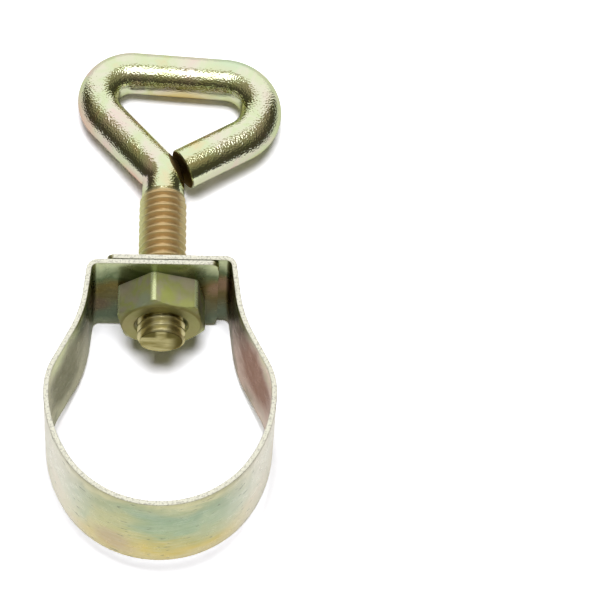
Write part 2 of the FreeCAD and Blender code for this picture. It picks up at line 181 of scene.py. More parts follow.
class Nodes:
    """Short calls for the node trees below. Lengths and places are in millimetres."""

    def __init__(self, name, tree=None):
        if tree is None:
            self.material = bpy.data.materials.new(name)
            self.material.use_nodes = True
            tree = self.material.node_tree
        self.tree = tree
        tree.nodes.clear()
        texture = tree.nodes.new("ShaderNodeTexCoord")
        self.coords = texture.outputs["Object"]
        self.generated = texture.outputs["Generated"]
        self.facing = texture.outputs["Normal"]

    def node(self, kind, **inputs):
        """A new node. Each input goes by its socket's name, with _ for a space."""
        made = self.tree.nodes.new(kind)
        for key, value in inputs.items():
            self.put(made.inputs[key.replace("_", " ")], value)
        return made

    def put(self, socket, value):
        """Links another node's output to the socket, or sets a plain value on it."""
        if isinstance(value, bpy.types.NodeSocket):
            self.tree.links.new(value, socket)
        else:
            socket.default_value = value

    def surface(self, shader, output="ShaderNodeOutputMaterial"):
        """Ends the tree with this shader."""
        self.tree.links.new(shader, self.tree.nodes.new(output).inputs["Surface"])

    def math(self, operation, a, b=0.0, c=0.0):
        made = self.tree.nodes.new("ShaderNodeMath")
        made.operation = operation
        for socket, value in zip(made.inputs, (a, b, c)):
            self.put(socket, value)
        return made.outputs[0]

    def vector(self, operation, a, b, output="Vector"):
        made = self.tree.nodes.new("ShaderNodeVectorMath")
        made.operation = operation
        for socket, value in zip(made.inputs, (a, b)):
            self.put(socket, value)
        return made.outputs[output]

    def rest(self, share):
        """What this share leaves of one."""
        return self.math("SUBTRACT", 1.0, share)

    def times(self, a, b):
        return self.math("MULTIPLY", a, b)

    def scaled(self, value, factor, base):
        """The value times the factor, on top of the base."""
        return self.math("MULTIPLY_ADD", value, factor, base)

    def hypotenuse(self, a, b):
        return self.math("SQRT", self.math("ADD", self.times(a, a), self.times(b, b)))

    def mix(self, share, a, b):
        """Colour a, turning to colour b as the share grows from 0 to 1."""
        made = self.tree.nodes.new("ShaderNodeMix")
        made.data_type = "RGBA"
        sockets = {s.identifier: s for s in made.inputs}
        self.put(sockets["Factor_Float"], share)
        for key, value in (("A_Color", a), ("B_Color", b)):
            if isinstance(value, tuple):
                value = (*value, 1)
            self.put(sockets[key], value)
        return next(s for s in made.outputs if s.identifier == "Result_Color")

    def smooth(self, value, low, high):
        """0 below low, 1 above high and an S-curve between."""
        made = self.node("ShaderNodeMapRange", Value=value, From_Min=low, From_Max=high)
        made.interpolation_type = "SMOOTHSTEP"
        return made.outputs["Result"]

    def ramp(self, value, stops):
        """The colours or levels of the stops, which rise in position, blended from one to the next."""
        made = self.node("ShaderNodeValToRGB", Fac=value)
        elements = made.color_ramp.elements
        elements[1].position = stops[-1][0]
        elements[0].position = stops[0][0]
        for position, _ in stops[1:-1]:
            elements.new(position)
        for element, (_, colour) in zip(elements, stops):
            if not isinstance(colour, tuple):
                colour = (colour,) * 3
            element.color = (*colour, 1)
        return made.outputs["Color"]

    def noise(self, scale, detail=4.0, rough=0.55, offset=(0, 0, 0), distortion=0.0):
        """Cloud noise whose features are about 1/scale wide."""
        if not isinstance(scale, tuple):
            scale = (scale,) * 3
        mapping = self.node(
            "ShaderNodeMapping",
            Vector=self.coords,
            Scale=tuple(s / MM for s in scale),
            Location=offset,
        )
        made = self.node(
            "ShaderNodeTexNoise",
            Vector=mapping.outputs[0],
            Scale=1.0,
            Detail=detail,
            Roughness=rough,
            Distortion=distortion,
        )
        return made.outputs["Fac"]

    def axis(self, name):
        """One object coordinate."""
        split = self.node("ShaderNodeSeparateXYZ", Vector=self.coords)
        return self.times(split.outputs[name], 1 / MM)

    def along(self, direction):
        """How far a point lies in this direction from the origin."""
        return self.vector("DOT_PRODUCT", self.coords, tuple(v / MM for v in direction), "Value")

    def distance(self, place):
        """How far a point is from this place."""
        gap = self.vector("DISTANCE", self.coords, tuple(v * MM for v in place), "Value")
        return self.math("DIVIDE", gap, MM)

    def inward(self, middle):
        """How far this face looks towards a line along Z through the middle."""
        x, y = middle
        back = self.vector("SUBTRACT", (x * MM, y * MM, 0.0), self.coords)
        level = self.vector("MULTIPLY", back, (1 / MM, 1 / MM, 0.0))
        return self.vector("DOT_PRODUCT", level, self.facing, "Value")

    def spot(self, place, radius, share, ragged):
        """The share at this place, fading to nothing at the radius with a ragged rim."""
        reach = self.math("DIVIDE", self.distance(place), radius)
        reach = self.scaled(ragged, SPOT_RAGGED, reach)
        return self.times(self.rest(self.smooth(reach, *SPOT_FADES)), share)

    def clouded(self, film, spots, ragged):
        """The film with spots on it, each a place, radius, share and colour; some spots are painted
        shade or a painted reflection.
        """
        for place, radius, share, colour in spots:
            film = self.mix(self.spot(place, radius, share, ragged), film, colour)
        return film

    def bump(self, height, distance, under=None):
        """Grain of this height, the noise's 0 to 1 being the distance, on top of another grain."""
        made = self.node("ShaderNodeBump", Strength=1.0, Distance=distance * MM, Height=height)
        if under is not None:
            self.put(made.inputs["Normal"], under)
        return made.outputs[0]

    def metal(self, colour, roughness, normal, metallic, edge=None):
        """A plated metal. Where it is less metallic, its torn grain scatters light."""
        shader = self.node(
            "ShaderNodeBsdfPrincipled",
            Base_Color=colour,
            Roughness=roughness,
            Metallic=metallic,
            Normal=normal,
        )
        if edge is not None:
            self.put(shader.inputs["Specular Tint"], edge)
        self.surface(shader.outputs[0])
        return self.material


WHITE = (1.0, 1.0, 1.0)

# A spot's rim: how far the clouds push it about, and between which shares of the radius it fades
SPOT_RAGGED = 1.2
SPOT_FADES = (0.35, 1.0)

# The clamp tips back until its eye touches down, so the floor rises from the bridge to the eye
FLOOR_LINE_Y = 20.65
FLOOR_SLOPE = math.tan(math.radians(8.9))
FLOOR_CLEARANCE = 0.02

# Beyond the eye the floor rounds over and falls away to its foot
FLOOR_CREST_Y = 66.0
FLOOR_CREST_ROUND = 260.0
FLOOR_FOOT = -12.0
FLOOR_ROWS = [-700, -300, *range(-100, 200, 4), 260, 400, 700]
FLOOR_COLUMNS = [-900, -200, 0, 200, 900]

# The floor as the lamp lights it and as the camera shows it
FLOOR_COLOUR = (0.85, 0.85, 0.85)
FLOOR_SHOWN = (1.55, 1.55, 1.63)

# What metal mirrors of it: a pool of light painted into the floor's colour, brighter by the ring than
# under the eye, where painted shade dims it, and dark round it
FLOOR_NEAR = (1.0, 1.0, 1.0)
FLOOR_UNDER_EYE = (0.72, 0.72, 0.72)
FLOOR_FAR = (0.12, 0.12, 0.12)
NEAR_ENDS = (8.0, 38.0)
POOL_MIDDLE_Y = 40.0
POOL_HALF_WIDTH = 20.0
POOL_REACH = 65.0
POOL_FADES = (1.0, 2.3)


def floor_height(y):
    """The slope that the clamp lies on, and past its crest a round fall down to the foot."""
    height = (y - FLOOR_LINE_Y) * FLOOR_SLOPE - FLOOR_CLEARANCE
    if y < FLOOR_CREST_Y:
        return height
    past = y - FLOOR_CREST_Y
    return max(height - past * past / FLOOR_CREST_ROUND, FLOOR_FOOT)


def floor_finish():
    """Plain white, seen at a set level, and mirrored as a pool of light painted into its colour."""
    n = Nodes("floor_white")
    path = n.node("ShaderNodeLightPath")
    across = n.math("DIVIDE", n.axis("X"), POOL_HALF_WIDTH)
    ahead = n.math("MINIMUM", n.math("SUBTRACT", n.axis("Y"), POOL_MIDDLE_Y), 0.0)
    away = n.hypotenuse(across, n.math("DIVIDE", ahead, POOL_REACH))
    # Painted light and shade: the pool that metal mirrors, dimmer under the eye and dark far off
    pool = n.mix(n.smooth(n.axis("Y"), *NEAR_ENDS), FLOOR_NEAR, FLOOR_UNDER_EYE)
    pool = n.mix(n.smooth(away, *POOL_FADES), pool, FLOOR_FAR)
    colour = n.mix(path.outputs["Is Glossy Ray"], FLOOR_COLOUR, pool)
    colour = n.mix(path.outputs["Is Camera Ray"], colour, FLOOR_SHOWN)
    diffuse = n.node("ShaderNodeBsdfDiffuse", Color=colour)
    n.surface(diffuse.outputs[0])
    return n.material


def make_floor():
    mesh = bmesh.new()
    rows = []
    for y in FLOOR_ROWS:
        z = floor_height(y)
        rows.append([mesh.verts.new((x * MM, y * MM, z * MM)) for x in FLOOR_COLUMNS])
    for low, high in zip(rows, rows[1:]):
        for i in range(len(FLOOR_COLUMNS) - 1):
            mesh.faces.new((low[i], low[i + 1], high[i + 1], high[i]))
    floor = object_from("floor", mesh)
    floor.data.materials.append(floor_finish())


# What metal mirrors above the floor: directions of the sky, each coordinate from -1 to 1.
# A white wall stands behind the clamp and narrows to its sides.
WALL_LEVEL = 1.0
WALL_NARROWS = 0.75
WALL_FADES = (0.1, 0.4)

# A band of light hangs overhead
LIGHT_LEVEL = 2.1
LIGHT_SIDES = (0.16, 0.36)
LIGHT_FRONT = (-0.62, -0.3)
LIGHT_BACK = (0.06, 0.18)
LIGHT_BOTTOM = (0.5, 0.7)

# The rest of the room is dim and warm
ROOM_AROUND = 0.05
ROOM_ABOVE = 0.3
ROOM_FADES = (0.35, 0.98)
ROOM_TINT = (1.1, 1.0, 0.62)

# What fills the shadows in place of all that
DOME_LEVEL = 0.1
DOME_FADES = (0.2, 1.0)


def make_world():
    """A white wall and a band of light that only metal mirrors, in a faint even light."""
    world = bpy.data.worlds.new("studio")
    bpy.context.scene.world = world
    world.use_nodes = True
    n = Nodes("studio", world.node_tree)
    split = n.node("ShaderNodeSeparateXYZ", Vector=n.generated)
    x, y, z = (split.outputs[i] for i in range(3))
    wall = n.smooth(n.scaled(n.times(x, x), -WALL_NARROWS, y), *WALL_FADES)
    wall = n.times(wall, WALL_LEVEL)
    light = n.rest(n.smooth(n.math("ABSOLUTE", x), *LIGHT_SIDES))
    light = n.times(light, n.smooth(y, *LIGHT_FRONT))
    light = n.times(light, n.rest(n.smooth(y, *LIGHT_BACK)))
    light = n.times(light, n.times(n.smooth(z, *LIGHT_BOTTOM), LIGHT_LEVEL))
    room = n.scaled(n.smooth(z, *ROOM_FADES), ROOM_ABOVE - ROOM_AROUND, ROOM_AROUND)
    mirrored = n.math("MAXIMUM", n.math("MAXIMUM", wall, light), room)
    dome = n.times(n.smooth(z, *DOME_FADES), DOME_LEVEL)
    path = n.node("ShaderNodeLightPath")
    # Light that reaches metal by way of a matt surface counts as the dome's
    direct = n.rest(n.math("MINIMUM", path.outputs["Diffuse Depth"], 1.0))
    metal = n.times(path.outputs["Is Glossy Ray"], direct)
    level = n.scaled(mirrored, metal, n.times(dome, n.rest(metal)))
    dim = n.rest(n.smooth(level, ROOM_ABOVE, WALL_LEVEL))
    tint = n.mix(dim, WHITE, ROOM_TINT)
    around = n.node("ShaderNodeBackground", Color=tint, Strength=level)
    backdrop = n.node("ShaderNodeBackground", Color=(*WHITE, 1), Strength=1.0)
    seen = n.node("ShaderNodeMixShader", Fac=path.outputs["Is Camera Ray"])
    n.put(seen.inputs[1], around.outputs[0])
    n.put(seen.inputs[2], backdrop.outputs[0])
    n.surface(seen.outputs[0], "ShaderNodeOutputWorld")


# A square of light almost overhead, a little to the front, with its lengths in metres
LAMP_ZENITH = math.radians(4.0)
LAMP_COMPASS = math.radians(-105.0)
LAMP_DISTANCE = 0.9
LAMP_SIDE = 0.38
LAMP_WATTS = 8.3
LAMP_AIM = Vector((0.0, 0.02, 0.0))


def make_lamp():
    """The one lamp, which metal doesn't mirror."""
    aside = math.sin(LAMP_ZENITH)
    away = Vector(
        (
            aside * math.cos(LAMP_COMPASS),
            aside * math.sin(LAMP_COMPASS),
            math.cos(LAMP_ZENITH),
        )
    )
    data = bpy.data.lights.new("overhead", "AREA")
    data.shape = "SQUARE"
    data.size = LAMP_SIDE
    data.energy = LAMP_WATTS
    lamp = bpy.data.objects.new("overhead", data)
    bpy.context.scene.collection.objects.link(lamp)
    lamp.location = LAMP_AIM + away * LAMP_DISTANCE
    lamp.rotation_mode = "QUATERNION"
    lamp.rotation_quaternion = away.to_track_quat("Z", "Y")
    lamp.visible_glossy = False


# Shapes


class Path:
    """Points and headings along straight runs and tangent bends in the XY plane."""

    def __init__(self, point, heading):
        self.point = Vector(point)
        self.heading = heading
        self.length = 0.0
        self.samples = [(self.point.copy(), heading, self.length)]

    def _add(self, point, heading, step):
        self.length += step
        self.samples.append((point, heading, self.length))

    def run(self, length, step=RUN_STEP):
        count = max(1, round(length / step))
        h = math.radians(self.heading)
        ahead = Vector((math.cos(h), math.sin(h)))
        start = self.point.copy()
        for i in range(1, count + 1):
            self._add(start + ahead * length * i / count, self.heading, length / count)
        self.point = start + ahead * length

    def bend(self, radius, turn, step=RUN_STEP):
        """A bend to the left where the turn, in degrees, is positive."""
        length = math.radians(abs(turn)) * radius
        count = max(LEAST_BEND_STEPS, round(length / step))
        side = 1 if turn > 0 else -1
        h = math.radians(self.heading)
        centre = self.point + Vector((-math.sin(h), math.cos(h))) * radius * side
        for i in range(1, count + 1):
            now = self.heading + turn * i / count
            a = math.radians(now)
            point = centre + Vector((math.sin(a), -math.cos(a))) * radius * side
            self._add(point, now, length / count)
        self.point = self.samples[-1][0].copy()
        self.heading += turn


def sweep(samples, section):
    """A closed tube: section(distance) gives the outline there as (across, z) pairs."""
    mesh = bmesh.new()
    loops = []
    for point, heading, distance in samples:
        h = math.radians(heading)
        left = Vector((-math.sin(h), math.cos(h)))
        loop = []
        for across, z in section(distance):
            place = point + left * across
            loop.append(mesh.verts.new((place.x * MM, place.y * MM, z * MM)))
        loops.append(loop)
    for low, high in zip(loops, loops[1:]):
        bridge(mesh, low, high)
    mesh.faces.new(list(reversed(loops[0])))
    mesh.faces.new(loops[-1])
    bmesh.ops.recalc_face_normals(mesh, faces=mesh.faces)
    return mesh


def bridge(mesh, low, high):
    """A band of faces between two closed loops of as many points."""
    count = len(low)
    for i in range(count):
        j = (i + 1) % count
        mesh.faces.new((low[i], low[j], high[j], high[i]))


def object_from(name, mesh, smooth=True):
    data = bpy.data.meshes.new(name)
    mesh.to_mesh(data)
    mesh.free()
    data.polygons.foreach_set("use_smooth", [smooth] * len(data.polygons))
    thing = bpy.data.objects.new(name, data)
    bpy.context.scene.collection.objects.link(thing)
    return thing


def apply_modifiers(thing):
    """Bakes the object's modifiers into its mesh."""
    graph = bpy.context.evaluated_depsgraph_get()
    baked = bpy.data.meshes.new_from_object(thing.evaluated_get(graph))
    thing.modifiers.clear()
    thing.data = baked


# The band


def long_side(across, start, end):
    """The points between the two ends of one long side of the strip's cross-section."""
    return [(across, start + (end - start) * i / SECTION_STEPS) for i in range(1, SECTION_STEPS)]


def rounded_edge(across, z, start):
    """A quarter round about this place, from the start angle in degrees."""
    angles = [math.radians(start + 90 * i / EDGE_STEPS) for i in range(EDGE_STEPS + 1)]
    return [(across + EDGE_RADIUS * math.cos(a), z + EDGE_RADIUS * math.sin(a)) for a in angles]


def strip_section(low_z, high_z):
    """The strip's cross-section, (across, z), between two levels, with its four edges rounded."""
    side = HALF_STRIP - EDGE_RADIUS
    low = low_z + EDGE_RADIUS
    high = high_z - EDGE_RADIUS
    points = rounded_edge(side, high, 0) + rounded_edge(-side, high, 90)
    points += long_side(-HALF_STRIP, high, low)
    points += rounded_edge(-side, low, 180) + rounded_edge(side, low, 270)
    points += long_side(HALF_STRIP, low, high)
    return points


def neck_length():
    """Length of each straight neck, which fills the height that the bends and the inner wall leave."""
    seat = math.radians(SEAT_HALF_ANGLE)
    neck = math.radians(NECK_LEAN)
    wall = math.radians(WALL_LEAN)
    height = BRIDGE_HEIGHT + HALF_STRIP + (SEAT_RADIUS + HALF_STRIP) * math.cos(seat)
    height -= (FLANK_RADIUS + HALF_STRIP) * math.cos(seat)
    height -= (SHOULDER_RADIUS + HALF_STRIP) * math.sin(neck)
    height -= (THROAT_RADIUS - HALF_STRIP) * (math.sin(neck) - math.sin(wall))
    height -= WALL_RUN * math.cos(wall)
    height -= (CORNER_RADIUS + HALF_STRIP) * (1 - math.sin(wall))
    return height / math.cos(neck)


def side_path(start, level, reach=None):
    """The right half of the middle line, from the seat's end up and back across at this level.

    The lap ends at the reach beyond the middle plane, or else clear of the opposite wall.
    """
    lean = math.radians(WALL_LEAN)
    corner = CORNER_RADIUS + HALF_STRIP
    path = Path(start, SEAT_HALF_ANGLE)
    path.bend(FLANK_RADIUS + HALF_STRIP, 90 - SEAT_HALF_ANGLE)
    path.bend(SHOULDER_RADIUS + HALF_STRIP, NECK_LEAN)
    path.run(neck_length())
    path.bend(THROAT_RADIUS - HALF_STRIP, WALL_LEAN - NECK_LEAN)
    foot = path.point.copy()
    path.run((level - foot.y - corner * (1 - math.sin(lean))) / math.cos(lean))
    path.bend(corner, 90 - WALL_LEAN, step=CORNER_STEP)
    if reach is None:
        wall = foot.x - (level - foot.y) * math.tan(lean)
        reach = wall - (INNER_LAP_CLEARANCE + HALF_STRIP) / math.cos(lean)
    path.run(path.point.x + reach - LAP_END_RADIUS)
    path.run(LAP_END_RADIUS, step=LAP_END_STEP)
    return path


def band_path():
    """The strip's middle line, from the inner lap's free end round the ring to the outer one's."""
    seat = SEAT_RADIUS + HALF_STRIP
    half_angle = math.radians(SEAT_HALF_ANGLE)
    end_x = seat * math.sin(half_angle)
    end_y = -seat * math.cos(half_angle)
    inner_level = BRIDGE_HEIGHT + HALF_STRIP
    outer_level = inner_level + STRIP_THICKNESS + LAP_GAP
    left = side_path((end_x, end_y), inner_level)
    right = side_path((end_x, end_y), outer_level, OUTER_LAP_REACH)
    ring = Path((-end_x, end_y), -SEAT_HALF_ANGLE)
    ring.bend(seat, 2 * SEAT_HALF_ANGLE)
    points = [(Vector((-at.x, at.y)), -heading) for at, heading, _ in reversed(left.samples)]
    points += [(point, heading) for point, heading, _ in ring.samples[1:] + right.samples[1:]]
    samples = []
    distance = 0.0
    last = points[0][0]
    for point, heading in points:
        distance += (point - last).length
        last = point
        samples.append((point, heading, distance))
    return samples


HOLE_CUTTER_LENGTH = 6.0


def hole_cutter():
    """A plug along the bolt's axis, through both laps."""
    mesh = bmesh.new()
    bmesh.ops.create_cone(
        mesh,
        cap_ends=True,
        segments=HOLE_SEGMENTS,
        radius1=BOLT_HOLE / 2 * MM,
        radius2=BOLT_HOLE / 2 * MM,
        depth=HOLE_CUTTER_LENGTH * MM,
    )
    middle_y = BRIDGE_HEIGHT + STRIP_THICKNESS + LAP_GAP / 2
    bmesh.ops.rotate(mesh, verts=mesh.verts, matrix=Matrix.Rotation(math.pi / 2, 3, "X"))
    bmesh.ops.translate(mesh, verts=mesh.verts, vec=(0, middle_y * MM, AXIS_Z * MM))
    return object_from("hole_cutter", mesh, smooth=False)


def make_band():
    samples = band_path()
    total = samples[-1][2]

    def section(distance):
        left_over = min(distance, total - distance)
        gone = max(0.0, LAP_END_RADIUS - left_over)
        inset = LAP_END_RADIUS - math.sqrt(max(0.0, LAP_END_RADIUS**2 - gone**2))
        inset = min(inset, LAP_END_RADIUS - LAP_CORNER_SHORT)
        return strip_section(inset, STRIP_WIDTH - inset)

    band = object_from("band_strip", sweep(samples, section))
    cutter = hole_cutter()
    cut = band.modifiers.new("holes", "BOOLEAN")
    cut.operation = "DIFFERENCE"
    cut.solver = "EXACT"
    cut.object = cutter
    bpy.context.view_layer.update()
    apply_modifiers(band)
    bpy.data.objects.remove(cutter)
    band.data.set_sharp_from_angle(angle=BAND_CRISP)
    return band


# The eye bolt


def thread_share(y, turn):
    """How deep the thread is at this height and share of a turn, 0 on the crest and 1 at the root."""
    phase = (y / THREAD_PITCH - turn + THREAD_TURNED) % 1.0
    distance = min(phase, 1.0 - phase)
    share = (distance - CREST_SHARE) / (ROOT_SHARE - CREST_SHARE)
    return min(1.0, max(0.0, share))


def eye_path():
    """The rod's middle line, from the bolt's tip round the eye to its sawn end."""
    path = Path((0.0, TIP_Y), 90)
    path.run(THREAD_LENGTH, step=THREAD_PITCH / THREAD_STEPS)
    path.run(PLAIN_RUN)
    path.bend(FLARE_BEND_RADIUS, FLARE_ANGLE, step=FLARE_STEP)
    path.run(FLARE_RUN)
    path.bend(LEFT_BEND_RADIUS, -LEFT_BEND_ANGLE, step=EYE_BEND_STEP)
    path.run(BAR_RUN)
    path.bend(RIGHT_BEND_RADIUS, -RIGHT_BEND_ANGLE, step=EYE_BEND_STEP)
    path.run(CLOSING_RUN)
    return path.samples


def make_eye_bolt():
    samples = eye_path()
    end, heading, total = samples[-1]
    h = math.radians(heading)
    chamfer_start = end - Vector((math.cos(h), math.sin(h))) * CUT_END_CHAMFER
    samples.insert(-1, (chamfer_start, heading, total - CUT_END_CHAMFER))

    def radius_at(distance, turn):
        if distance > THREAD_LENGTH:
            return ROD_RADIUS - max(0.0, CUT_END_CHAMFER - (total - distance))
        fade = min(1.0, (THREAD_LENGTH - distance) / THREAD_RUNOUT)
        fade = fade * fade * (3 - 2 * fade)
        threaded = THREAD_RADIUS - thread_share(TIP_Y + distance, turn) * THREAD_DEPTH
        radius = ROD_RADIUS + (threaded - ROD_RADIUS) * fade
        return min(radius, THREAD_RADIUS - TIP_CHAMFER + distance)

    def section(distance):
        points = []
        for i in range(ROD_SEGMENTS):
            # A turn grows from +Z towards +X, and left of a path along +Y is -X
            turn = i / ROD_SEGMENTS
            a = 2 * math.pi * turn
            radius = radius_at(distance, turn)
            points.append((-radius * math.sin(a), AXIS_Z + radius * math.cos(a)))
        return points

    bolt = object_from("bolt_rod", sweep(samples, section))
    bolt.data.set_sharp_from_angle(angle=BOLT_CRISP)
    return bolt


# The nut

# Levels of its outside, as shares of its height from the seat to the middle
NUT_LEVELS = [0.0, 0.03, 0.06, 0.09, 0.12, 0.15, 0.2, 0.3, 0.4, 0.5]


def hexagon_radius(angle):
    """Distance from the nut's axis to its flats or rounded corners, at this angle from a corner."""
    apothem = NUT_FLATS / 2
    half_sector = math.radians(30)
    a = (angle + half_sector) % (2 * half_sector) - half_sector
    centre = (apothem - NUT_CORNER_RADIUS) / math.cos(half_sector)
    arc_end = math.atan2(
        NUT_CORNER_RADIUS * math.sin(half_sector),
        centre + NUT_CORNER_RADIUS * math.cos(half_sector),
    )
    if abs(a) > arc_end:
        return apothem / math.cos(half_sector - abs(a))
    return centre * math.cos(a) + math.sqrt(NUT_CORNER_RADIUS**2 - (centre * math.sin(a)) ** 2)


def nut_outside(turn, level):
    """The hexagon, chamfered at the face away from the seat. A corner lies at +X before it is turned."""
    angle = 2 * math.pi * turn - math.pi / 2 - math.radians(NUT_TURNED)
    slope = math.tan(math.radians(NUT_CHAMFER_ANGLE))
    return min(hexagon_radius(angle), NUT_FACE_RADIUS + (NUT_HEIGHT - level) / slope)


def nut_inside(turn, level):
    """The threaded bore, chamfered at both mouths."""
    share = thread_share(BRIDGE_HEIGHT - level, turn)
    threaded = NUT_THREAD_MAJOR - share * (NUT_THREAD_MAJOR - NUT_THREAD_MINOR)
    mouth = NUT_BORE_RADIUS + BORE_CHAMFER - min(level, NUT_HEIGHT - level)
    return max(threaded, mouth)


def make_nut():
    mesh = bmesh.new()

    def loop(radius_at, level):
        points = []
        for i in range(NUT_SEGMENTS):
            turn = i / NUT_SEGMENTS
            a = 2 * math.pi * turn
            radius = radius_at(turn, level)
            place = Vector((radius * math.sin(a), BRIDGE_HEIGHT - level, AXIS_Z + radius * math.cos(a)))
            points.append(mesh.verts.new(place * MM))
        return points

    levels = [share * NUT_HEIGHT for share in NUT_LEVELS]
    levels += [NUT_HEIGHT - level for level in reversed(levels[:-1])]
    outer = [loop(nut_outside, level) for level in levels]
    inner = [loop(nut_inside, NUT_HEIGHT * i / NUT_BORE_STEPS) for i in range(NUT_BORE_STEPS + 1)]
    for low, high in zip(outer, outer[1:]):
        bridge(mesh, low, high)
    for low, high in zip(inner, inner[1:]):
        bridge(mesh, high, low)
    bridge(mesh, inner[0], outer[0])
    bridge(mesh, outer[-1], inner[-1])
    bmesh.ops.recalc_face_normals(mesh, faces=mesh.faces)
    nut = object_from("nut_hexagon", mesh)
    nut.data.set_sharp_from_angle(angle=NUT_CRISP)
    return nut


# Finishes

# Bands and films are stops of position and colour. Clouds are places with radius, share and colour.

# The strip's outer face, from its lower edge to its upper one
OUTER_BANDS = [
    (0.02, (0.64, 0.54, 0.24)),
    (0.17, (0.62, 0.5, 0.14)),
    (0.36, (0.46, 0.45, 0.18)),
    (0.5, (0.34, 0.44, 0.25)),
    (0.72, (0.3, 0.41, 0.26)),
    (0.86, (0.4, 0.45, 0.25)),
    (0.97, (0.62, 0.6, 0.34)),
]
OUTER_CLOUDS = [
    ((-6.5, -11.5, 7.5), 6.0, 0.7, (0.57, 0.53, 0.24)),
    ((-5.5, -12.0, 3.4), 3.2, 0.7, (0.5, 0.38, 0.24)),
    ((7.0, -11.0, 7.0), 5.5, 0.6, (0.42, 0.5, 0.32)),
]
OUTER_WANDERS = 0.6

# Round the ring's sides the film is paler
PALE_SIDES = (6.5, 12.5)
PALE_SHARE = 0.85
PALE_PINK = (0.91, 0.78, 0.7)
PALE_GREEN = (0.78, 0.81, 0.65)

# The strip's inner face: painted shade makes it dark on the laps, beside the nut and on the necks, where
# it mirrors shaded floor; round the ring the film is paler
INNER_BANDS_AND_SHADE = [
    (0.03, (0.3, 0.33, 0.22)),
    (0.16, (0.11, 0.15, 0.1)),
    (0.4, (0.09, 0.08, 0.03)),
    (0.62, (0.11, 0.085, 0.02)),
    (0.8, (0.09, 0.13, 0.06)),
    (0.93, (0.4, 0.46, 0.27)),
    (1.0, (0.55, 0.6, 0.36)),
]
INNER_CLOUDS_AND_SHADE = [
    ((0.0, -12.6, 7.5), 19.0, 1.0, (0.6, 0.6, 0.46)),
    ((12.5, -4.0, 7.5), 19.0, 1.0, (0.78, 0.72, 0.66)),
    ((-12.5, -4.0, 7.5), 19.0, 1.0, (0.62, 0.6, 0.46)),
    # From here on the spots are painted shade: darker on the necks and beside the nut
    ((10.2, 11.0, 5.0), 7.0, 0.8, (0.55, 0.45, 0.4)),
    ((-10.2, 11.0, 5.0), 7.0, 0.8, (0.42, 0.4, 0.31)),
    ((8.2, 19.0, 9.0), 3.0, 0.9, (0.2, 0.13, 0.08)),
    ((-8.4, 19.0, 5.0), 2.5, 0.8, (0.12, 0.08, 0.05)),
    ((11.8, 7.2, 8.0), 7.0, 1.0, (0.18, 0.09, 0.06)),
    ((-11.8, 7.2, 8.0), 7.0, 1.0, (0.09, 0.09, 0.05)),
]
INNER_WANDERS = 0.5
INNER_MIDDLE = (0.0, 8.0)
INNER_FADES = (0.0, 2.0)

# How the inner face tints what it mirrors at a low angle, from its left side to its right one
LEFT_SHEEN = (0.82, 0.8, 0.68)
RIGHT_SHEEN = (0.86, 0.72, 0.66)
SHEEN_TURNS = (-4.0, 6.0)

# Rolling streaks and short dark scratches, with the shares that their noise gives
STREAK_COLOUR = (0.8, 0.8, 0.7)
STREAK_SHARES = [(0.4, 0.0), (0.8, 0.25)]
INNER_STREAK_COLOUR = (0.4, 0.4, 0.3)
INNER_STREAK_SHARES = [(0.4, 0.0), (0.8, 0.07)]
SCRATCH_COLOUR = (0.16, 0.18, 0.12)
SCRATCH_SHARES = [(0.64, 0.0), (0.69, 0.85)]

# A bare, torn and sparkling rim where the strip was sheared
RIM_SPARKLE = [(0.36, (0.66, 0.65, 0.56)), (0.52, (0.93, 0.92, 0.79))]
RIM_ROUGHER = 0.2
RIM_LESS_METALLIC = 0.6
RIM_GRAIN = 0.05
STRIP_ROUGHNESS = [(0.3, 0.24), (0.7, 0.36)]
STRIP_GRAIN = 0.012


